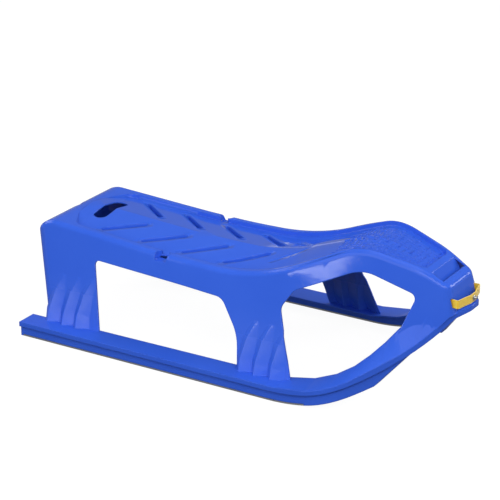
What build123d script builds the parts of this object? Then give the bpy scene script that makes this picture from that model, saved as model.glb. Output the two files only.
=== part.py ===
"""One-piece moulded children's sled with steel runner strips and webbing tow loops.

Millimetres, +X towards the nose, +Z up, the floor at Z = 0.
Stations are measured forwards from the rear end of the runners.
"""
import os
from math import asin, atan2, cos, degrees, hypot, sin

from build123d import *

os.makedirs("parts", exist_ok=True)

# Overall sizes
lip_station = 820.0
wall = 3.0

# Runner side line: level along the ground, then one arc up to the lip at the nose
flange_top = 28.5
rise_start = 530.0
rise_radius = 335.0
rise_end = 797.0
lip_slope = 0.47

# Runner plan, half of it: station, half width, corner radius
runner_outline = [
    (-200.0, 205.0, 10.0),
    (645.0, 205.0, 110.0),
    (800.0, 50.0, 30.0),
    (lip_station, 16.0, 20.0),
]
flange_plate = 3.0
skirt_depth = 9.0

# Flange cross-sections, which turn with the runner and tip up towards the nose: station and half
# width of the outer edge, station and half width of the inner edge, the inner edge's rise
flange_sections = [
    (0.0, 205.0, 0.0, 162.0, 0.0),
    (540.0, 205.0, 540.0, 156.0, 0.0),
    (604.0, 203.0, 596.0, 153.0, 2.0),
    (640.0, 196.0, 636.0, 149.0, 8.0),
    (668.0, 181.0, 664.0, 138.0, 14.0),
    (692.0, 161.0, 684.0, 120.0, 20.0),
    (714.0, 139.0, 702.0, 101.0, 27.0),
    (736.0, 114.0, 719.0, 86.0, 34.0),
    (758.0, 91.0, 737.0, 74.0, 38.0),
    (780.0, 70.0, 756.0, 60.0, 36.0),
    (801.0, 46.0, 776.0, 42.0, 24.0),
    (814.0, 24.0, 788.0, 24.0, 14.0),
    (820.0, 0.0, 792.0, 0.0, 6.0),
]
flange_overhang = 8.0

# Hollow rib under each flange, and the steel strip let into its foot
rib_inset = 5.0
rib_width = 14.0
rib_depth = 28.5
rib_rise = 60.0
rib_tip_station = 703.0
rib_fade_station = 746.0
strip_start = 5.0
strip_end = 600.0
strip_thickness = 3.0

# Hull plan at the flange and at the crown, half of it: station, half width, corner radius
crown_level = 262.0
base_outline = [
    (20.0, 70.0, 200.0),
    (31.0, 165.0, 22.0),
    (320.0, 167.0, 6000.0),
    (575.0, 171.0, 240.0),
    (837.0, 76.0, 26.0),
]
crown_outline = [
    (-64.0, 30.0, 120.0),
    (-50.0, 91.0, 38.0),
    (320.0, 91.5, 1500.0),
    (548.0, 106.0, 240.0),
    (781.0, 40.0, 16.0),
]

# Seat and hump seen from the side: station, height, bend radius
top_profile = [
    (-60.0, 60.0, 0.0),
    (-16.0, 201.8, 48.0),
    (266.0, 183.8, 2500.0),
    (450.0, 183.8, 394.0),
    (634.8, 265.7, 105.0),
    (741.0, 238.1, 200.0),
    (860.0, 177.0, 0.0),
]
rim_radius = 12.0

# Deck let in between the rims, half of it: station, half width, corner radius
recess_depth = 8.5
recess_outline = [
    (26.0, 42.0, 60.0),
    (56.0, 94.2, 24.0),
    (517.0, 105.3, 260.0),
    (745.0, 44.5, 12.0),
]
# The deck's crease along the middle: station, height, bend radius, and its fall to the sides
crease_profile = [
    (-40.0, 209.4, 0.0),
    (266.0, 190.0, 2500.0),
    (440.0, 189.0, 380.0),
    (634.8, 259.5, 105.0),
    (745.0, 228.0, 200.0),
    (860.0, 160.0, 0.0),
]
crease_slope = 0.15

# Windows through both side walls: station, height, corner radius
window_floor = 10.0
rear_window = [
    (157.0, window_floor, 0.0),
    (119.0, 149.6, 8.0),
    (396.0, 138.0, 26.0),
    (438.0, 84.0, 80.0),
    (451.0, window_floor, 0.0),
]
front_window = [
    (562.0, window_floor, 0.0),
    (516.0, 146.0, 16.0),
    (538.0, 180.0, 22.0),
    (648.0, 228.0, 60.0),
    (743.0, 193.0, 12.0),
    (722.0, 132.0, 4.0),
    (722.0, window_floor, 0.0),
]
nose_post_station = 722.0

# Arch between the rear legs
arch_foot_y = 158.0
arch_top_y = 98.0
arch_top = 122.0
arch_radius = 30.0

# Deck slots in a chevron, inner ends forward
slot_rows = 4
slot_pitch = 87.5
slot_outer = (98.0, 79.0)
slot_inner = (168.0, 21.0)
slot_width = 15.0
slot_depth = 13.0
slot_taper = 12.0
slot_hole = 42.0

# Grips through the rear of the deck and the top of the nose
rear_grip_station = 68.0
rear_grip_span = 90.0
rear_grip_width = 28.0
rear_grip_floor = 150.0
nose_grip_start = 757.0
nose_grip_end = 779.0
nose_grip_span = 85.0
nose_grip_floor = 200.0
nose_grip_fall = (15.0, 26.0)

# Pockets in the rims that hold a backrest: station, distance to the left, radius, level of the floor
rim_pockets = [
    (257.0, 111.0, 14.0, 172.0),
    (257.0, -111.0, 14.0, 172.0),
    (-12.0, 0.0, 16.0, 178.0),
]

# Pleats on the legs: the stations of their tips at the foot
pleat_tips = [44.0, 77.0, 107.0, 459.0, 490.0, 523.0]
# One pleat's section: height, how far it stands out, the tip's shift, its reach back and ahead
pleat_sections = [
    (16.0, 14.5, 0.0, 11.0, 25.0),
    (48.0, 9.0, -3.5, 10.0, 24.0),
    (84.0, 4.2, 1.5, 9.0, 20.0),
    (114.0, 0.3, 14.0, 5.0, 9.0),
]
pleat_root = 6.0

# Webbing loops, each through a pair of slots, and the stud at its middle
strap_thickness = 2.0
strap_width = 15.0
strap_gap = 1.0
strap_seat = 0.3
strap_slot_y = 43.0
strap_slot_width = 8.0
strap_slot_cut = 16.0
strap_bulge = 1.0
strap_bend = 4.0
strap_run = 26.0
front_strap_station = 817.0
front_strap_level = 182.0
rear_strap_station = -37.0
rear_strap_level = 156.0
rear_strap_tilt = 0.3
front_slot_station = 800.0
rear_slot_station = -24.0
stud_radius = 2.5
stud_head_radius = 4.5
stud_head = 1.5
stud_bore = 1.6
stud_bore_depth = 6.0
stud_tail = 6.0

rise_centre = flange_top + rise_radius
lip_tip = lip_station + 40.0
tail = -(front_strap_station + rear_strap_station) / 2
reach = 1.25 * runner_outline[0][1]
side_plane = Plane(origin=(tail, 0, 0), x_dir=(1, 0, 0), z_dir=(0, -1, 0))


def plan_plane(level):
    """A level plane whose X is the station."""
    return Plane(origin=(tail, 0, level), z_dir=(0, 0, 1))


def cross_plane(station, level, facing=1):
    """An upright plane across the sled, whose X is the sled's left."""
    return Plane(origin=(tail + station, 0, level), x_dir=(0, 1, 0), z_dir=(facing, 0, 0))


def plan_face(outline, level=0.0, inset=0.0):
    """A face symmetric about the centre line, from half an outline."""
    first = outline[0][0]
    last = outline[-1][0]
    points = [(first, 0)] + [(x, y) for x, y, radius in outline] + [(last, 0)]
    with BuildSketch(plan_plane(level)) as face:
        with BuildLine():
            FilletPolyline(*points, radius=[radius for x, y, radius in outline])
            mirror(about=Plane.XZ)
        make_face()
        if inset:
            offset(amount=-inset, mode=Mode.REPLACE)
    return face.sketch


def plan_column(outline, inset=0.0):
    """A tall column over a plan outline."""
    return extrude(plan_face(outline, 0.0, inset), amount=crown_level + 40.0, mode=Mode.PRIVATE)


def hull_solid(inset=0.0):
    """The drafted outer form, ruled between the base and crown outlines."""
    faces = [plan_face(base_outline, flange_top, inset), plan_face(crown_outline, crown_level, inset)]
    return loft(faces, ruled=True, mode=Mode.PRIVATE)


def below_profile(drop):
    """Everything under the seat's line, lowered by drop."""
    points = [(x, z - drop) for x, z, radius in top_profile]
    radii = [radius for x, z, radius in top_profile[1:-1]]
    with BuildPart() as block:
        with BuildSketch(side_plane):
            with BuildLine():
                line = FilletPolyline(*points, radius=radii)
                Polyline(line @ 1, (points[-1][0], -wall), (points[0][0], -wall), line @ 0)
            make_face()
        extrude(amount=reach, both=True)
    return block.part


def rise_point(depth, station):
    """A point of the runner's arc, at a depth under the flange's top."""
    radius = rise_radius + depth
    return (station, rise_centre - (radius**2 - (station - rise_start) ** 2) ** 0.5)


def runner_band(upper, lower):
    """The layer between two depths under the flange's top, right across the sled."""
    turn = asin((rise_end - rise_start) / rise_radius)
    ends = []
    for depth in (upper, lower):
        radius = rise_radius + depth
        start = (rise_start, flange_top - depth)
        middle = (rise_start + radius * sin(turn / 2), rise_centre - radius * cos(turn / 2))
        end = (rise_start + radius * sin(turn), rise_centre - radius * cos(turn))
        rise_top = rise_centre - rise_radius * cos(turn)
        tip = (lip_tip, rise_top + lip_slope * (lip_tip - rise_end) - depth)
        ends.append((start, middle, end, tip))
    (start_a, middle_a, end_a, tip_a), (start_b, middle_b, end_b, tip_b) = ends
    with BuildPart() as band:
        with BuildSketch(side_plane):
            with BuildLine():
                Line((0, start_a[1]), start_a)
                ThreePointArc(start_a, middle_a, end_a)
                Polyline(end_a, tip_a, tip_b, end_b)
                ThreePointArc(end_b, middle_b, start_b)
                Polyline(start_b, (0, start_b[1]), (0, start_a[1]))
            make_face()
        extrude(amount=reach, both=True)
    return band.part


def runner_ring(outer, inner):
    """The wall between two insets of the runner's plan."""
    return plan_column(runner_outline, outer) - plan_column(runner_outline, inner)


def side_cutter(outline):
    """A cutter across both side walls, from stations, heights and corner radii."""
    points = [(x, z) for x, z, radius in outline]
    radii = [radius for x, z, radius in outline[1:-1]]
    with BuildPart() as cutter:
        with BuildSketch(side_plane):
            with BuildLine():
                line = FilletPolyline(*points, radius=radii)
                Line(line @ 1, line @ 0)
            make_face()
        extrude(amount=reach, both=True)
    return cutter.part


def stations(first, last):
    """A block across the sled between two stations."""
    with BuildPart() as block:
        with BuildSketch(side_plane):
            with Locations(((first + last) / 2, crown_level / 2)):
                Rectangle(last - first, 2 * crown_level)
        extrude(amount=reach, both=True)
    return block.part


def strap_loop(inner, outer):
    """A closed loop seen from above: a run behind the wall, then a bulge through two slots."""
    run = outer - inner
    half_loop = [
        (inner, strap_slot_y),
        (inner + 0.68 * run, strap_slot_y + strap_bulge),
        (inner + 0.85 * run, 0.55 * strap_slot_y),
        (outer, 0.22 * strap_slot_y),
    ]
    other_half = [(x, -y) for x, y in reversed(half_loop)]
    with BuildSketch() as loop:
        with BuildLine():
            Polyline(*half_loop, *other_half, close=True)
        make_face()
        fillet(loop.vertices(), strap_bend)
        offset(amount=-strap_thickness, mode=Mode.SUBTRACT)
    return loop.sketch


def flange_level(station):
    """The height of the flange's outer top edge."""
    if station < rise_start:
        return flange_top
    if station < rise_end:
        return rise_point(0.0, station)[1]
    return rise_point(0.0, rise_end)[1] + lip_slope * (station - rise_end)


def arm_half(drop):
    """Everything under one flange's top, lowered by drop, as a ruled loft of upright sections."""
    sections = []
    for outer_x, outer_y, inner_x, inner_y, rise in flange_sections:
        width = hypot(outer_x - inner_x, outer_y - inner_y)
        level = flange_level(outer_x) - drop
        fall = flange_overhang * rise / width
        plane = Plane(
            origin=(tail + outer_x, outer_y, 0),
            x_dir=(inner_x - outer_x, inner_y - outer_y, 0),
            z_dir=(inner_y - outer_y, outer_x - inner_x, 0),
        )
        with BuildSketch(plane) as section:
            with BuildLine():
                Polyline(
                    (-flange_overhang, level - fall),
                    (width, level + rise),
                    (width, -crown_level),
                    (-flange_overhang, -crown_level),
                    close=True,
                )
            make_face()
        sections.append(section.sketch)
    return loft(sections, ruled=True, mode=Mode.PRIVATE)


def arm_block(drop):
    """Both flanges' blocks, lowered by drop."""
    half = arm_half(drop)
    return half + half.mirror(Plane.XZ)


def seat_level(station):
    """The height of the rims' line at a station, without its bends."""
    for (x_a, z_a, radius_a), (x_b, z_b, radius_b) in zip(top_profile[1:], top_profile[2:]):
        if x_a <= station <= x_b:
            return z_a + (z_b - z_a) * (station - x_a) / (x_b - x_a)


def wall_half_width(station, level):
    """The side wall's half width at a station and a height."""
    ends = []
    for outline in (base_outline, crown_outline):
        (x_a, y_a, radius_a), (x_b, y_b, radius_b) = outline[2:4]
        if station < x_a:
            (x_a, y_a, radius_a), (x_b, y_b, radius_b) = outline[1:3]
        ends.append(y_a + (y_b - y_a) * (station - x_a) / (x_b - x_a))
    share = (level - flange_top) / (crown_level - flange_top)
    return ends[0] + (ends[1] - ends[0]) * share


def pleat_solid(foot, inset):
    """One pleat on the left wall, its sections drawn in by an inset."""
    faces = []
    for level, proud, shift, back, ahead in pleat_sections:
        tip = foot + shift
        side = wall_half_width(tip, level) - inset
        root = pleat_root
        with BuildSketch(plan_plane(level)) as face:
            with BuildLine():
                Polyline(
                    (tip, side + proud),
                    (tip - back, side),
                    (tip - back, side - root),
                    (tip + ahead, side - root),
                    (tip + ahead, side),
                    close=True,
                )
            make_face()
        faces.append(face.sketch)
    return loft(faces, ruled=True, mode=Mode.PRIVATE)


def deck_slot(first, last, width, level, depth, taper=0.0):
    """A long slot's cutter between two plan points, from a level down to a depth."""
    middle = ((first[0] + last[0]) / 2, (first[1] + last[1]) / 2)
    turn = degrees(atan2(last[1] - first[1], last[0] - first[0]))
    length = hypot(last[0] - first[0], last[1] - first[1])
    with BuildPart() as cutter:
        with BuildSketch(plan_plane(level)):
            with Locations(middle):
                SlotOverall(length, width, rotation=turn)
        extrude(amount=-depth, taper=taper)
    return cutter.part


def creased(drop):
    """Everything under the creased deck, lowered by drop."""
    points = [(x, z - drop) for x, z, radius in crease_profile]
    radii = [radius for x, z, radius in crease_profile[1:-1]]
    with BuildPart() as half:
        with BuildSketch(side_plane):
            with BuildLine():
                line = FilletPolyline(*points, radius=radii)
                Polyline(line @ 1, (points[-1][0], -wall), (points[0][0], -wall), line @ 0)
            make_face()
        extrude(amount=reach, dir=(0, 1, -crease_slope))
    return half.part + half.part.mirror(Plane.XZ)


# The deck's two surfaces: flat between the rims, with a crease along the middle
with BuildPart() as deck_top:
    add(below_profile(recess_depth))
    add(creased(0.0))

with BuildPart() as deck_under:
    add(below_profile(recess_depth + wall))
    add(creased(wall))

# The column over the deck, and the hollow under it, which runs up inside the rims
recess_column = plan_column(recess_outline)
inner_column = plan_column(recess_outline, -wall)

# Pockets of the deck's slots: where they stand, and what is cut from them
slot_blocks = []
slot_cuts = []
for row in range(slot_rows):
    for side in (1, -1):
        first = (slot_outer[0] + row * slot_pitch, side * slot_outer[1])
        last = (slot_inner[0] + row * slot_pitch, side * slot_inner[1])
        run = (last[0] - first[0], last[1] - first[1])
        start = 1 - slot_hole / hypot(*run)
        end = 1 - wall / hypot(*run)
        hole_first = (first[0] + start * run[0], first[1] + start * run[1])
        hole_last = (first[0] + end * run[0], first[1] + end * run[1])
        level = seat_level((first[0] + last[0]) / 2) + recess_depth
        deep = 2 * recess_depth + slot_depth
        slot_blocks.append(deck_slot(first, last, slot_width, level, deep))
        slot_cuts.append(deck_slot(first, last, slot_width, level, deep - wall, slot_taper))
        slot_cuts.append(deck_slot(hole_first, hole_last, slot_width - 2 * wall, level, deep + wall))

with BuildPart() as pocket_cups:
    for x, y, radius, floor in rim_pockets:
        with BuildSketch(plan_plane(floor - wall)):
            with Locations((x, y)):
                Circle(radius + wall)
        extrude(amount=crown_level - floor)

with BuildPart() as hollow:
    add(hull_solid(wall))
    add(below_profile(wall), mode=Mode.INTERSECT)
    add(inner_column, mode=Mode.SUBTRACT)
    add(pocket_cups.part, mode=Mode.SUBTRACT)

with BuildPart() as middle_hollow:
    add(hull_solid(wall))
    add(inner_column, mode=Mode.INTERSECT)
    add(deck_under.part, mode=Mode.INTERSECT)
    add(slot_blocks, mode=Mode.SUBTRACT)

with BuildPart() as middle_deck:
    add(hull_solid(0.0))
    add(recess_column, mode=Mode.INTERSECT)
    add(deck_top.part, mode=Mode.INTERSECT)

# The flange and its skirt, right round the nose
arm_tops = {drop: arm_block(drop) for drop in (0.0, flange_plate / 2, flange_plate)}
runner_column = plan_column(runner_outline)

nose_inside = hull_solid(wall) & stations(nose_post_station, lip_tip)

with BuildPart() as flange:
    add(arm_tops[0.0])
    add(arm_tops[flange_plate], mode=Mode.SUBTRACT)
    add(runner_column, mode=Mode.INTERSECT)
    add(nose_inside, mode=Mode.SUBTRACT)

with BuildPart() as skirt:
    add(runner_band(0, skirt_depth))
    add(runner_ring(0, wall), mode=Mode.INTERSECT)

# The steel strip under each rib
with BuildPart() as strips:
    add(runner_band(rib_depth - strip_thickness, rib_depth))
    add(runner_ring(rib_inset, rib_inset + rib_width), mode=Mode.INTERSECT)
    add(stations(strip_start, strip_end), mode=Mode.INTERSECT)

# The hollow ribs, open below, which fade into the skirt before the nose
with BuildPart() as rib_hollow:
    add(runner_band(-rib_rise, rib_depth + wall))
    add(runner_ring(rib_inset + wall, rib_inset + rib_width - wall), mode=Mode.INTERSECT)
    add(arm_tops[flange_plate], mode=Mode.INTERSECT)
    add(stations(strip_start + wall, rib_tip_station - wall), mode=Mode.INTERSECT)

tip_point = rise_point(rib_depth, rib_tip_station)
fade_point = rise_point(skirt_depth, rib_fade_station)
with BuildPart() as ribs:
    add(runner_band(-rib_rise, rib_depth))
    add(runner_ring(rib_inset, rib_inset + rib_width), mode=Mode.INTERSECT)
    add(arm_tops[flange_plate / 2], mode=Mode.INTERSECT)
    add(rib_hollow.part, mode=Mode.SUBTRACT)
    add(strips.part, mode=Mode.SUBTRACT)
    with BuildSketch(side_plane):
        with BuildLine():
            Polyline(
                tip_point,
                fade_point,
                (fade_point[0], crown_level),
                (lip_tip, crown_level),
                (lip_tip, -wall),
                (tip_point[0], -wall),
                close=True,
            )
        make_face()
    extrude(amount=reach, both=True, mode=Mode.SUBTRACT)

# What the runner line leaves of the hull's skirts
with BuildPart() as under_runner:
    add(runner_band(flange_plate / 2, crown_level))
    add(arm_tops[flange_plate / 2])

with BuildPart() as rear_arch:
    with BuildSketch(cross_plane(-reach, 0)):
        with BuildLine():
            FilletPolyline(
                (-arch_foot_y, -wall),
                (-arch_top_y, arch_top),
                (arch_top_y, arch_top),
                (arch_foot_y, -wall),
                radius=arch_radius,
            )
            Line((arch_foot_y, -wall), (-arch_foot_y, -wall))
        make_face()
    extrude(amount=reach + rear_grip_station)

# The webbing loops, one facing forwards and one backwards, and their studs
loops = {}
for end, facing, outer, level, tilt in (
    ("front", 1, front_strap_station, front_strap_level, 0.0),
    ("rear", -1, rear_strap_station, rear_strap_level, rear_strap_tilt),
):
    inner = outer - facing * strap_run
    back = outer - facing * strap_thickness
    loop_plane = Plane(origin=(tail, 0, level), x_dir=(1, 0, 0), z_dir=(0, -tilt, 1))
    loop_face = loop_plane.location * strap_loop(inner, outer)
    with BuildPart() as strap:
        extrude(loop_face, amount=strap_width / 2, both=True)
        with BuildSketch(cross_plane(outer, level)):
            Circle(stud_radius)
        extrude(amount=2 * strap_thickness, both=True, mode=Mode.SUBTRACT)
    with BuildPart() as stud:
        with BuildSketch(cross_plane(back, level, facing)):
            Circle(stud_radius)
        extrude(amount=strap_thickness + stud_tail)
        for head_station, head_facing in ((back, -facing), (outer, facing)):
            with BuildSketch(cross_plane(head_station, level, head_facing)):
                Circle(stud_head_radius)
                Circle(stud_bore, mode=Mode.SUBTRACT)
            extrude(amount=stud_head)
        with BuildSketch(cross_plane(outer + facing * stud_tail, level, facing)):
            Circle(stud_bore)
        extrude(amount=-stud_bore_depth, mode=Mode.SUBTRACT)
    loops[f"{end}_strap"] = strap
    loops[f"{end}_stud"] = stud

with BuildPart() as pleat_outer:
    for foot in pleat_tips:
        add(pleat_solid(foot, 0.0))
    mirror(about=Plane.XZ)

with BuildPart() as pleat_inner:
    for foot in pleat_tips:
        add(pleat_solid(foot, wall))
    mirror(about=Plane.XZ)

# The slanted rear wall of the nose grip
with BuildPart() as grip_lip:
    with BuildSketch(side_plane):
        crest = seat_level(nose_grip_start)
        with BuildLine():
            Polyline(
                (nose_grip_start - wall, crest),
                (nose_grip_start, crest),
                (nose_grip_start + nose_grip_fall[0], crest - nose_grip_fall[1]),
                (nose_grip_start + nose_grip_fall[0] - wall, crest - nose_grip_fall[1]),
                close=True,
            )
        make_face()
    extrude(amount=nose_grip_span / 2 + wall, both=True)
    add(hull_solid(0.0), mode=Mode.INTERSECT)

# The shell
with BuildPart() as moulding:
    add(hull_solid())
    add(below_profile(0), mode=Mode.INTERSECT)
    top_faces = moulding.faces().filter_by(lambda face: face.normal_at().Z > 0.6)
    top_edges = top_faces.edges()
    rim_edges = [
        edge for edge in top_edges if len([face for face in top_faces if edge in face.edges()]) == 1
    ]
    fillet(rim_edges, rim_radius)
    add(recess_column, mode=Mode.SUBTRACT)
    add(middle_deck.part)
    add(pleat_outer.part)
    add(hollow.part, mode=Mode.SUBTRACT)
    add(middle_hollow.part, mode=Mode.SUBTRACT)
    add(pleat_inner.part, mode=Mode.SUBTRACT)
    add(under_runner.part, mode=Mode.SUBTRACT)
    add([side_cutter(rear_window), side_cutter(front_window), rear_arch.part], mode=Mode.SUBTRACT)
    add(slot_cuts, mode=Mode.SUBTRACT)
    with BuildSketch(plan_plane(rear_grip_floor)):
        with Locations((rear_grip_station, 0)):
            SlotOverall(rear_grip_span, rear_grip_width, rotation=90)
    extrude(amount=crown_level - rear_grip_floor, mode=Mode.SUBTRACT)
    with BuildSketch(plan_plane(nose_grip_floor)):
        with Locations(((nose_grip_start + nose_grip_end) / 2, 0)):
            Rectangle(nose_grip_end - nose_grip_start, nose_grip_span)
    extrude(amount=crown_level - nose_grip_floor, mode=Mode.SUBTRACT)
    add(grip_lip.part)
    for x, y, radius, floor in rim_pockets:
        with BuildSketch(plan_plane(floor)):
            with Locations((x, y)):
                Circle(radius)
        extrude(amount=crown_level - floor, mode=Mode.SUBTRACT)
    for station, level, tilt in (
        (front_slot_station, front_strap_level, 0.0),
        (rear_slot_station, rear_strap_level, rear_strap_tilt),
    ):
        slot_lift = (strap_gap - strap_seat) / 2
        with BuildSketch(Plane(origin=(tail + station, 0, level), x_dir=(0, 1, tilt), z_dir=(1, 0, 0))):
            with Locations((strap_slot_y, slot_lift), (-strap_slot_y, slot_lift)):
                Rectangle(strap_slot_width, strap_width + strap_gap + strap_seat)
        extrude(amount=strap_slot_cut, both=True, mode=Mode.SUBTRACT)
    add(flange.part)
    add(skirt.part)
    add(ribs.part)
moulding.part.label = "moulding"
export_step(moulding.part, "parts/moulding.step")

for name, solid in zip(("strip_right", "strip_left"), strips.solids().sort_by(Axis.Y)):
    solid.label = name
    export_step(solid, f"parts/{name}.step")

for name, builder in loops.items():
    builder.part.label = name
    export_step(builder.part, f"parts/{name}.step")
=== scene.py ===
# %% [markdown]
# # A moulded plastic sled
# A child's sled is one thin blue shell on two runners. A steel strip is let into the
# foot of each runner. One loop of yellow webbing passes through the nose and another
# through the rear wall, each closed by a metal stud, so that a rope can be tied on.
# The solids come from the frame. What is made here is the finish of every surface, the
# raised grip pattern under the feet, and the weave of the webbing.

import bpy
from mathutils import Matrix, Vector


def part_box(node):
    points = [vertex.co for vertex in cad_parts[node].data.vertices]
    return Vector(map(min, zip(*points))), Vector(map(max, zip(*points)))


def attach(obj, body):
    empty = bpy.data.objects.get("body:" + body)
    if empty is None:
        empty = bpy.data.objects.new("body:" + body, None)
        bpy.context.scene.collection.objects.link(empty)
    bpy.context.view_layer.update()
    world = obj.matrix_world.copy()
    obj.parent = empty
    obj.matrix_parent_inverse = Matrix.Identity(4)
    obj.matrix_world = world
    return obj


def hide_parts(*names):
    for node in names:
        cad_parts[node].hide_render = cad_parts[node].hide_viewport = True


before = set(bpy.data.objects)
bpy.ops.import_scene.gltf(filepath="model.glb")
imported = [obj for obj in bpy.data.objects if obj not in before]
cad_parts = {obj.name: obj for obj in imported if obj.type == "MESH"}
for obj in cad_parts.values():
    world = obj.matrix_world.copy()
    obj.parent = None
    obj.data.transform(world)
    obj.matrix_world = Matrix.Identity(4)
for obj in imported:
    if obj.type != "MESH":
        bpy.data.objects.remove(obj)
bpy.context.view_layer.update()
print("nodes", sorted(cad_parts))

# %% Tools of the trade
import bmesh
import bpy
import math
from mathutils import Matrix, Vector
from mathutils.bvhtree import BVHTree

# %% [markdown]
# ## Where things are
# Sizes along the sled are easiest to read as stations, measured forwards from the rear
# end of the runners. The steel strips start 5 mm ahead of that end, so their box gives
# the station's zero, and every later place is worked out from it.

# %% Stations along the sled
STRIP_START = 0.005
rear_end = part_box("strip_left")[0].x - STRIP_START


def station(distance):
    """The frame's X at a distance ahead of the rear end of the runners."""
    return rear_end + distance


def point(distance, side, height):
    """A point of the frame from its station, its side and its height."""
    return Vector((station(distance), side, height))


print("rear end of the runners at", round(rear_end, 4))

# %% [markdown]
# ## The camera
# The picture was taken from the nose's side and from a little above. The lens is long,
# so the near and the far runner keep almost the same length. The camera is set by its
# turn, its height, its distance and the point that it looks at.

# %% Camera
CAMERA_TURN = math.radians(31.13)
CAMERA_RISE = math.radians(21.69)
CAMERA_DISTANCE = 3.626
CAMERA_LENS = 144.6
FILM_WIDTH = 36.0
aim = point(0.3728, 0.0, 0.1774)
away = Vector((
    math.sin(CAMERA_TURN) * math.cos(CAMERA_RISE),
    -math.cos(CAMERA_TURN) * math.cos(CAMERA_RISE),
    math.sin(CAMERA_RISE),
))
camera_data = bpy.data.cameras.new("camera")
camera_data.lens = CAMERA_LENS
camera_data.sensor_width = FILM_WIDTH
camera = bpy.data.objects.new("camera", camera_data)
camera.location = aim + away * CAMERA_DISTANCE
camera.rotation_euler = away.to_track_quat("Z", "Y").to_euler()
bpy.context.collection.objects.link(camera)
bpy.context.scene.camera = camera
bpy.context.scene.view_settings.view_transform = "Standard"
print("camera at", [round(value, 3) for value in camera.location])

# %% [markdown]
# ## Colours and small shader helpers
# Colours are written as the eye sees them, from 0 to 255, and turned into the linear
# values that a shader wants. Small helpers start a material, give it the coordinate
# that every pattern reads, make an empty node group, and place a group in a material.

# %% Helpers for materials
WHITE = (1.0, 1.0, 1.0, 1.0)
NUMBER, VECTOR = "NodeSocketFloat", "NodeSocketVector"


def linear(red, green, blue):
    """A linear colour from one as a screen shows it, by the usual screen curve."""
    channels = []
    for value in (red / 255, green / 255, blue / 255):
        dark = value <= 0.04045
        channels.append(value / 12.92 if dark else ((value + 0.055) / 1.055) ** 2.4)
    return (*channels, 1.0)


def new_material(name):
    """A material with its Principled shader, and the tree that it lives in."""
    material = bpy.data.materials.new(name)
    material.use_nodes = True
    tree = material.node_tree
    return material, tree, tree.nodes["Principled BSDF"]


def object_place(tree):
    """The coordinate that every pattern reads: metres in the frame."""
    return tree.nodes.new("ShaderNodeTexCoord").outputs["Object"]


def new_group(name, inputs, outputs):
    """An empty shader node group, with the kinds of its sockets by their names."""
    group = bpy.data.node_groups.new(name, "ShaderNodeTree")
    for socket_name, kind in inputs.items():
        group.interface.new_socket(socket_name, in_out="INPUT", socket_type=kind)
    for socket_name, kind in outputs.items():
        group.interface.new_socket(socket_name, in_out="OUTPUT", socket_type=kind)
    return group, group.nodes.new("NodeGroupInput"), group.nodes.new("NodeGroupOutput")


def place_group(tree, group, coordinate, values):
    """A shared node group in a material, with its own values."""
    node = tree.nodes.new("ShaderNodeGroup")
    node.node_tree = group
    tree.links.new(coordinate, node.inputs["Place"])
    for name, value in values.items():
        node.inputs[name].default_value = value
    return node


print("a middle grey of 128 is linear", round(linear(128, 128, 128)[0], 3))

# %% [markdown]
# ## A shared surface grain
# Moulded plastic and rolled steel are never perfectly even. One group mixes a slow
# cloudiness with a fine grain: the cloud shifts the colour and the gloss a little, and
# the grain feeds a Bump node. Each material places the group with its own scales.

# %% Surface grain group
CLOUD_DETAIL, GRAIN_DETAIL = 3.0, 2.0


def build_grain():
    group, start, end = new_group(
        "surface_grain",
        {"Place": VECTOR, "Cloud Scale": NUMBER, "Grain Scale": NUMBER},
        {"Cloud": NUMBER, "Grain": NUMBER},
    )
    for pattern, detail in (("Cloud", CLOUD_DETAIL), ("Grain", GRAIN_DETAIL)):
        noise = group.nodes.new("ShaderNodeTexNoise")
        noise.inputs["Detail"].default_value = detail
        group.links.new(start.outputs["Place"], noise.inputs["Vector"])
        group.links.new(start.outputs[pattern + " Scale"], noise.inputs["Scale"])
        group.links.new(noise.outputs["Fac"], end.inputs[pattern])
    return group


grain_group = build_grain()


def surface_grain(tree, coordinate, cloud_scale, grain_scale):
    """The grain in a material, at its own two scales."""
    scales = {"Cloud Scale": cloud_scale, "Grain Scale": grain_scale}
    return place_group(tree, grain_group, coordinate, scales)


print("group", grain_group.name, "sockets", len(grain_group.interface.items_tree))

# %% [markdown]
# ## Helpers for the finish
# Every material is put together from five small helpers. One turns a mask into a colour
# between two colours. Two turn it into a number between two numbers, and the second of
# them suits a noise, which keeps near its middle. One takes the greater of two masks,
# and the last makes a bump from a height, on top of a normal that comes before it.

# %% Colours, numbers and bumps from a mask
NOISE_LOW, NOISE_HIGH = 0.3, 0.7


def mix_colour(tree, mask, first, second):
    """A colour between two, by a mask."""
    node = tree.nodes.new("ShaderNodeMix")
    node.data_type = "RGBA"
    node.inputs["A"].default_value = first
    node.inputs["B"].default_value = second
    tree.links.new(mask, node.inputs["Factor"])
    return node.outputs["Result"]


def between(tree, mask, low, high, start=0.0, end=1.0):
    """A number from low to high, as a mask goes from its start to its end."""
    node = tree.nodes.new("ShaderNodeMapRange")
    node.inputs["From Min"].default_value = start
    node.inputs["From Max"].default_value = end
    node.inputs["To Min"].default_value = low
    node.inputs["To Max"].default_value = high
    tree.links.new(mask, node.inputs["Value"])
    return node.outputs["Result"]


def spread(tree, noise, low, high):
    """A number from low to high, by a noise that keeps near its middle."""
    return between(tree, noise, low, high, NOISE_LOW, NOISE_HIGH)


def either(tree, first, second):
    """The greater of two masks."""
    node = tree.nodes.new("ShaderNodeMath")
    node.operation = "MAXIMUM"
    tree.links.new(first, node.inputs[0])
    tree.links.new(second, node.inputs[1])
    return node.outputs[0]


def add_bump(tree, height, strength, distance, before=None):
    """A Bump node from a height, on top of the normal that comes before it."""
    node = tree.nodes.new("ShaderNodeBump")
    node.inputs["Strength"].default_value = strength
    node.inputs["Distance"].default_value = distance
    tree.links.new(height, node.inputs["Height"])
    if before is not None:
        tree.links.new(before, node.inputs["Normal"])
    return node


print("a noise is read from", NOISE_LOW, "to", NOISE_HIGH)

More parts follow.
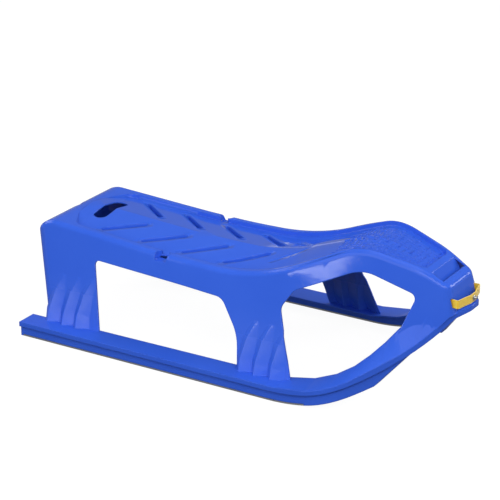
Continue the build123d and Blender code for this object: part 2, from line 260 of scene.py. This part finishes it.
# %% [markdown]
# ## Dents round the slots
# The seat's slots lie in shallow troughs, and ahead of them is a pair of troughs
# without a slot. The slots are cut in the solid. The soft lead-in round each one is
# only three millimetres deep, so it is made in the shading. A group measures how near a
# place is to a line between two points, seen from above. It reads the width without its
# sign, so that one line makes a dent on each side of the sled.

# %% Dent group


def build_dent():
    group, start, end = new_group(
        "dent",
        {"Place": VECTOR, "From": VECTOR, "To": VECTOR, "Radius": NUMBER},
        {"Depth": NUMBER},
    )

    def vector_step(operation, *sources):
        node = group.nodes.new("ShaderNodeVectorMath")
        node.operation = operation
        for socket, source in zip(node.inputs, sources):
            group.links.new(source, socket)
        return node

    split = group.nodes.new("ShaderNodeSeparateXYZ")
    group.links.new(start.outputs["Place"], split.inputs["Vector"])
    side = group.nodes.new("ShaderNodeMath")
    side.operation = "ABSOLUTE"
    group.links.new(split.outputs["Y"], side.inputs[0])
    plan = group.nodes.new("ShaderNodeCombineXYZ")
    group.links.new(split.outputs["X"], plan.inputs["X"])
    group.links.new(side.outputs[0], plan.inputs["Y"])
    reach = vector_step("SUBTRACT", plan.outputs["Vector"], start.outputs["From"])
    line = vector_step("SUBTRACT", start.outputs["To"], start.outputs["From"])
    along = vector_step("DOT_PRODUCT", reach.outputs["Vector"], line.outputs["Vector"])
    whole = vector_step("DOT_PRODUCT", line.outputs["Vector"], line.outputs["Vector"])
    share = group.nodes.new("ShaderNodeMath")
    share.operation = "DIVIDE"
    share.use_clamp = True
    group.links.new(along.outputs["Value"], share.inputs[0])
    group.links.new(whole.outputs["Value"], share.inputs[1])
    walked = vector_step("SCALE", line.outputs["Vector"])
    group.links.new(share.outputs[0], walked.inputs["Scale"])
    off = vector_step("DISTANCE", reach.outputs["Vector"], walked.outputs["Vector"])
    soft = group.nodes.new("ShaderNodeMapRange")
    soft.interpolation_type = "SMOOTHSTEP"
    soft.inputs["To Min"].default_value = 1.0
    soft.inputs["To Max"].default_value = 0.0
    group.links.new(off.outputs["Value"], soft.inputs["Value"])
    group.links.new(start.outputs["Radius"], soft.inputs["From Max"])
    group.links.new(soft.outputs["Result"], end.inputs["Depth"])
    return group


dent_group = build_dent()
print("group", dent_group.name, "sockets", len(dent_group.interface.items_tree))

# %% Where the dents are
DENT_DEPTH, DENT_STRENGTH = 0.0030, 1.0
SLOT_PITCH, SLOT_ROWS = 0.0875, 4
SLOT_FROM, SLOT_TO, SLOT_RADIUS = (0.098, 0.079), (0.168, 0.021), 0.011
FRONT_FROM, FRONT_TO, FRONT_RADIUS = (0.449, 0.051), (0.4945, 0.013), 0.008


def dent_values(start, end, radius, ahead=0.0):
    """The group's values for a dent between two places, each a station and a side."""
    return {
        "From": point(start[0] + ahead, start[1], 0.0),
        "To": point(end[0] + ahead, end[1], 0.0),
        "Radius": radius,
    }


DENTS = [
    dent_values(SLOT_FROM, SLOT_TO, SLOT_RADIUS, row * SLOT_PITCH)
    for row in range(SLOT_ROWS)
]
DENTS.append(dent_values(FRONT_FROM, FRONT_TO, FRONT_RADIUS))
print("dents on each side", len(DENTS))

# %% [markdown]
# ## Blue moulded plastic
# The shell is a tough plastic, coloured all through, with a gloss from a polished
# mould. A real moulding has no knife edges: the Bevel node rounds every corner by two
# and a half millimetres in the shading alone, so each edge catches a thin line of
# light. The dents and the grain are bumps on top of that rounded normal. The feet of
# the legs and the runners are matt from the mould and from wear on the snow, so their
# pleats mirror nothing sharp. The cloud keeps wide faces from looking computed.

# %% Blue plastic
BLUE_DARK, BLUE_LIGHT = linear(48, 94, 218), linear(58, 104, 226)
BLUE_SCALES = (9.0, 900.0)
BLUE_POLISH = (0.05, 0.09)
BLUE_IOR, BLUE_SPECULAR = 1.42, 0.4
BLUE_GRAIN = (0.10, 0.0001)
EDGE_ROUND, EDGE_SAMPLES = 0.0025, 6
MATT_BELOW, GLOSSY_ABOVE = 0.08, 0.16
MATT_ROUGHNESS = 0.30


def blue_plastic():
    material, tree, shader = new_material("blue_plastic")
    place = object_place(tree)
    grain = surface_grain(tree, place, *BLUE_SCALES)
    colour = mix_colour(tree, grain.outputs["Cloud"], BLUE_DARK, BLUE_LIGHT)
    tree.links.new(colour, shader.inputs["Base Color"])
    height = tree.nodes.new("ShaderNodeSeparateXYZ")
    tree.links.new(place, height.inputs["Vector"])
    matt = between(
        tree, height.outputs["Z"], MATT_ROUGHNESS, 0.0, MATT_BELOW, GLOSSY_ABOVE
    )
    polish = spread(tree, grain.outputs["Cloud"], *BLUE_POLISH)
    tree.links.new(either(tree, matt, polish), shader.inputs["Roughness"])
    shader.inputs["IOR"].default_value = BLUE_IOR
    shader.inputs["Specular IOR Level"].default_value = BLUE_SPECULAR
    depth = None
    for values in DENTS:
        dent = place_group(tree, dent_group, place, values).outputs["Depth"]
        depth = dent if depth is None else either(tree, depth, dent)
    rounded = tree.nodes.new("ShaderNodeBevel")
    rounded.samples = EDGE_SAMPLES
    rounded.inputs["Radius"].default_value = EDGE_ROUND
    dented = add_bump(tree, depth, DENT_STRENGTH, DENT_DEPTH, rounded.outputs["Normal"])
    dented.invert = True
    bump = add_bump(tree, grain.outputs["Grain"], *BLUE_GRAIN, dented.outputs["Normal"])
    tree.links.new(bump.outputs["Normal"], shader.inputs["Normal"])
    return material


blue = blue_plastic()
print("material", blue.name)

# %% [markdown]
# ## The shell
# The CAD mesh is loose triangles. A copy of it is merged, so that neighbouring faces
# share their corners, and shaded smooth up to a limit angle: rounded edges then run
# smoothly, and real corners stay crisp. Weighted normals let the wide faces decide how
# each corner is lit, so long thin triangles leave no streaks on them.

# %% Copy a CAD node as one merged, smoothly shaded mesh
MERGE_DISTANCE = 1e-5


def merged_copy(node, name, limit):
    """A merged copy of a CAD node's mesh, smooth up to the limit angle."""
    shape = bmesh.new()
    shape.from_mesh(bpy.data.objects[node].data)
    bmesh.ops.remove_doubles(shape, verts=shape.verts[:], dist=MERGE_DISTANCE)
    mesh = bpy.data.meshes.new(name)
    shape.to_mesh(mesh)
    shape.free()
    mesh.materials.clear()
    piece = bpy.data.objects.new(name, mesh)
    bpy.context.collection.objects.link(piece)
    for face in mesh.polygons:
        face.use_smooth = True
    mesh.set_sharp_from_angle(angle=limit)
    weighted = piece.modifiers.new("weighted_normals", "WEIGHTED_NORMAL")
    weighted.mode = "FACE_AREA"
    weighted.keep_sharp = True
    return piece


SHELL_LIMIT = math.radians(9)
shell = merged_copy("moulding", "sled_shell", SHELL_LIMIT)
shell.data.materials.append(blue)
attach(shell, "root")
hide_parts("moulding")
print("shell faces", len(shell.data.polygons))

# %% [markdown]
# ## Grip under the feet
# The hump carries a field of short raised bars, laid like a basket weave, so that boots
# don't slip. Each bar is a small block. A ray cast down on the shell finds the surface
# under it, and the bar takes that surface's tilt and sinks into it by a little.

# %% Placing a bar on the shell
CAST_HEIGHT = 1.0
DOWN = Vector((0.0, 0.0, -1.0))
shell_shape = bmesh.new()
shell_shape.from_mesh(shell.data)
shell_tree = BVHTree.FromBMesh(shell_shape)
shell_shape.free()


def seated_matrix(x, y, turn, sunk):
    """A placement on the shell's top, turned about its normal."""
    place, normal, _, _ = shell_tree.ray_cast(Vector((x, y, CAST_HEIGHT)), DOWN)
    ahead = Vector((math.cos(turn), math.sin(turn), 0.0))
    side = normal.cross(ahead).normalized()
    ahead = side.cross(normal).normalized()
    tilt = Matrix((ahead, side, normal)).transposed().to_4x4()
    return Matrix.Translation(place - normal * sunk) @ tilt


print("rays are cast down from", CAST_HEIGHT, "m")

# %% Grip bars
import random

GRIP_START, GRIP_END = 0.572, 0.738
GRIP_PITCH = 0.0115
GRIP_LENGTH, GRIP_WIDTH, GRIP_HEIGHT = 0.0120, 0.0040, 0.0028
GRIP_SUNK = 0.0002
HALF_WIDTH_REAR, HALF_WIDTH_FRONT = 0.080, 0.036
LENGTH_SHARES = (0.75, 1.0, 1.0, 1.2)
TOP_SHARES = (0.86, 0.62, 1.0)
random.seed(7)

grip_shape = bmesh.new()
rows = round((GRIP_END - GRIP_START) / GRIP_PITCH)
for row in range(rows + 1):
    half_width = HALF_WIDTH_REAR + (HALF_WIDTH_FRONT - HALF_WIDTH_REAR) * (row / rows)
    columns = int(half_width / GRIP_PITCH)
    x = station(GRIP_START + row * GRIP_PITCH)
    for column in range(-columns, columns + 1):
        turn = math.pi / 2 if (row + column) % 2 else 0.0
        length = GRIP_LENGTH * random.choice(LENGTH_SHARES)
        place = seated_matrix(x, column * GRIP_PITCH, turn, GRIP_SUNK)
        size = Matrix.Diagonal((length, GRIP_WIDTH, GRIP_HEIGHT, 1.0))
        made = bmesh.ops.create_cube(grip_shape, size=1.0, matrix=place @ size)
        top = sorted(made["verts"], key=lambda vert: (place.inverted() @ vert.co).z)[4:]
        bmesh.ops.scale(
            grip_shape, verts=top, vec=TOP_SHARES, space=(place @ size).inverted()
        )
grip_mesh = bpy.data.meshes.new("foot_grip")
grip_shape.to_mesh(grip_mesh)
grip_shape.free()
grip_mesh.materials.append(blue)
foot_grip = bpy.data.objects.new("foot_grip", grip_mesh)
bpy.context.collection.objects.link(foot_grip)
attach(foot_grip, "root")
print("grip bars", len(grip_mesh.vertices) // 8)

# %% [markdown]
# ## Steel strips
# Each runner slides on a strip of bare rolled steel. It is metallic, drawn lengthwise,
# so its grain is stretched along the sled.

# %% Strip steel
STEEL_DARK, STEEL_LIGHT = linear(176, 178, 182), linear(214, 216, 219)
STEEL_STRETCH = (0.06, 1.0, 1.0)
STEEL_SCALES = (40.0, 1500.0)
STEEL_POLISH = (0.24, 0.42)
STEEL_GRAIN = (0.2, 0.0001)


def strip_steel():
    material, tree, shader = new_material("strip_steel")
    stretch = tree.nodes.new("ShaderNodeMapping")
    stretch.inputs["Scale"].default_value = STEEL_STRETCH
    tree.links.new(object_place(tree), stretch.inputs["Vector"])
    grain = surface_grain(tree, stretch.outputs["Vector"], *STEEL_SCALES)
    colour = mix_colour(tree, grain.outputs["Cloud"], STEEL_DARK, STEEL_LIGHT)
    tree.links.new(colour, shader.inputs["Base Color"])
    polish = spread(tree, grain.outputs["Grain"], *STEEL_POLISH)
    tree.links.new(polish, shader.inputs["Roughness"])
    shader.inputs["Metallic"].default_value = 1.0
    bump = add_bump(tree, grain.outputs["Grain"], *STEEL_GRAIN)
    tree.links.new(bump.outputs["Normal"], shader.inputs["Normal"])
    return material


steel = strip_steel()
SMALL_LIMIT = math.radians(30)
for side in ("left", "right"):
    strip = merged_copy("strip_" + side, "steel_strip_" + side, SMALL_LIMIT)
    strip.data.materials.append(steel)
    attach(strip, "root")
    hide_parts("strip_" + side)
    print("strip", side, "faces", len(strip.data.polygons))

# %% [markdown]
# ## Yellow webbing
# The webbing is a flat woven band. Its ribs run across it about two millimetres apart,
# which a wave pattern gives as bump, with a softer, fuzzier gloss than the plastic. The
# studs take the steel of the strips.

# %% Webbing and studs
YELLOW_DARK, YELLOW_LIGHT = linear(250, 194, 28), linear(255, 226, 80)
WEBBING_SCALES = (60.0, 1800.0)
WEBBING_POLISH = (0.6, 0.8)
WEBBING_SHEEN = 0.4
RIB_SCALE, RIB_WANDER = 160.0, 0.6
RIB_BUMP = (0.5, 0.0004)


def yellow_webbing():
    material, tree, shader = new_material("yellow_webbing")
    place = object_place(tree)
    grain = surface_grain(tree, place, *WEBBING_SCALES)
    weave = tree.nodes.new("ShaderNodeTexWave")
    weave.bands_direction = "Y"
    weave.inputs["Scale"].default_value = RIB_SCALE
    weave.inputs["Distortion"].default_value = RIB_WANDER
    tree.links.new(place, weave.inputs["Vector"])
    colour = mix_colour(tree, weave.outputs["Fac"], YELLOW_DARK, YELLOW_LIGHT)
    tree.links.new(colour, shader.inputs["Base Color"])
    polish = spread(tree, grain.outputs["Grain"], *WEBBING_POLISH)
    tree.links.new(polish, shader.inputs["Roughness"])
    shader.inputs["Sheen Weight"].default_value = WEBBING_SHEEN
    bump = add_bump(tree, weave.outputs["Fac"], *RIB_BUMP)
    tree.links.new(bump.outputs["Normal"], shader.inputs["Normal"])
    return material


webbing = yellow_webbing()
for end in ("front", "rear"):
    strap = merged_copy(end + "_strap", end + "_webbing", SMALL_LIMIT)
    strap.data.materials.append(webbing)
    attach(strap, "root")
    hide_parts(end + "_strap")
    stud = merged_copy(end + "_stud", end + "_rivet", SMALL_LIMIT)
    stud.data.materials.append(steel)
    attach(stud, "root")
    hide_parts(end + "_stud")
    print(end, "strap faces", len(strap.data.polygons))

# %% [markdown]
# ## The floor and the light
# A large floor and a white world stand in for the studio, and Light Path tells them
# what is looking. The camera sees both as plain white. Reflections see the floor as dim
# as the shade under the sled, and the world as a white horizon with a dim ceiling just
# over it, so the glossy seat keeps its blue. The light that bounces off the floor is a
# grey's, so the hollow under the seat stays dark and the floor takes a faint shadow.
# One narrow softbox stands low on the near side, where the bend of the side wall
# mirrors it as a crisp pale patch. The others are large and stand where no wide face
# mirrors them to the camera, so they light every side of the sled without washing its
# colour out.

# %% Floor
FLOOR_SIZE = 12.0
FLOOR_GREY = linear(96, 96, 97)
FLOOR_ROUGHNESS = 0.95
FLOOR_GLOW = 0.95
FLOOR_MIRRORED = 0.15


def seen_straight(tree, path):
    """A mask that is 1 for the camera, also when it looks through a clear thing."""
    rays = ("Is Camera Ray", "Is Transmission Ray")
    return either(tree, *(path.outputs[ray] for ray in rays))


def white_floor():
    material, tree, shader = new_material("white_floor")
    shader.inputs["Base Color"].default_value = FLOOR_GREY
    shader.inputs["Roughness"].default_value = FLOOR_ROUGHNESS
    shader.inputs["Specular IOR Level"].default_value = 0.0
    shader.inputs["Emission Color"].default_value = WHITE
    path = tree.nodes.new("ShaderNodeLightPath")
    mirrored = between(tree, path.outputs["Is Glossy Ray"], 0.0, FLOOR_MIRRORED)
    glow = between(tree, seen_straight(tree, path), 0.0, FLOOR_GLOW)
    tree.links.new(either(tree, mirrored, glow), shader.inputs["Emission Strength"])
    return material


floor_shape = bmesh.new()
bmesh.ops.create_grid(floor_shape, x_segments=1, y_segments=1, size=FLOOR_SIZE / 2)
floor_mesh = bpy.data.meshes.new("floor")
floor_shape.to_mesh(floor_mesh)
floor_shape.free()
floor_mesh.materials.append(white_floor())
floor = bpy.data.objects.new("floor", floor_mesh)
bpy.context.collection.objects.link(floor)
print("floor", FLOOR_SIZE, "m")

# %% World
WORLD_LIGHT = 0.42
CEILING = 0.22
CEILING_FROM, CEILING_TO = 0.0, 0.02
world = bpy.data.worlds.new("studio")
bpy.context.scene.world = world
world.use_nodes = True
sky = world.node_tree
path = sky.nodes.new("ShaderNodeLightPath")
plain = between(sky, seen_straight(sky, path), WORLD_LIGHT, 1.0)
looking = sky.nodes.new("ShaderNodeTexCoord").outputs["Generated"]
direction = sky.nodes.new("ShaderNodeSeparateXYZ")
sky.links.new(looking, direction.inputs["Vector"])
ceiling = between(sky, direction.outputs["Z"], 1.0, CEILING, CEILING_FROM, CEILING_TO)
strength = sky.nodes.new("ShaderNodeMix")
strength.data_type = "FLOAT"
sky.links.new(path.outputs["Is Glossy Ray"], strength.inputs["Factor"])
sky.links.new(plain, strength.inputs["A"])
sky.links.new(ceiling, strength.inputs["B"])
background = sky.nodes["Background"]
background.inputs["Color"].default_value = WHITE
sky.links.new(strength.outputs["Result"], background.inputs["Strength"])
print("world light", WORLD_LIGHT, "ceiling", CEILING)

# %% Softboxes
SOFTBOXES = [
    # name, watts, width, height, and where it is and what it faces, each as a point
    ("near_box", 3.2, 0.995, 0.125, (0.2475, -1.45, 0.46), (0.2475, 0.0, 0.46)),
    ("side_box", 25.0, 3.20, 2.00, (0.20, -2.40, 1.90), (0.35, 0.0, 0.15)),
    ("front_box", 28.0, 1.80, 1.40, (2.30, -1.40, 1.90), (0.60, 0.0, 0.15)),
    ("far_box", 26.0, 1.60, 1.20, (2.60, 2.20, 1.50), (0.40, 0.0, 0.15)),
    ("rear_box", 16.0, 1.60, 1.20, (-2.10, 0.20, 1.60), (0.30, 0.0, 0.15)),
    ("top_box", 8.0, 1.80, 1.20, (0.90, 0.0, 2.40), (0.45, 0.0, 0.12)),
]
for name, watts, width, height, place, target in SOFTBOXES:
    lamp_data = bpy.data.lights.new(name, "AREA")
    lamp_data.shape = "RECTANGLE"
    lamp_data.size = width
    lamp_data.size_y = height
    lamp_data.energy = watts
    lamp = bpy.data.objects.new(name, lamp_data)
    lamp.location = point(*place)
    back = point(*place) - point(*target)
    lamp.rotation_euler = back.to_track_quat("Z", "Y").to_euler()
    bpy.context.collection.objects.link(lamp)
    print("softbox", name, watts, "W")
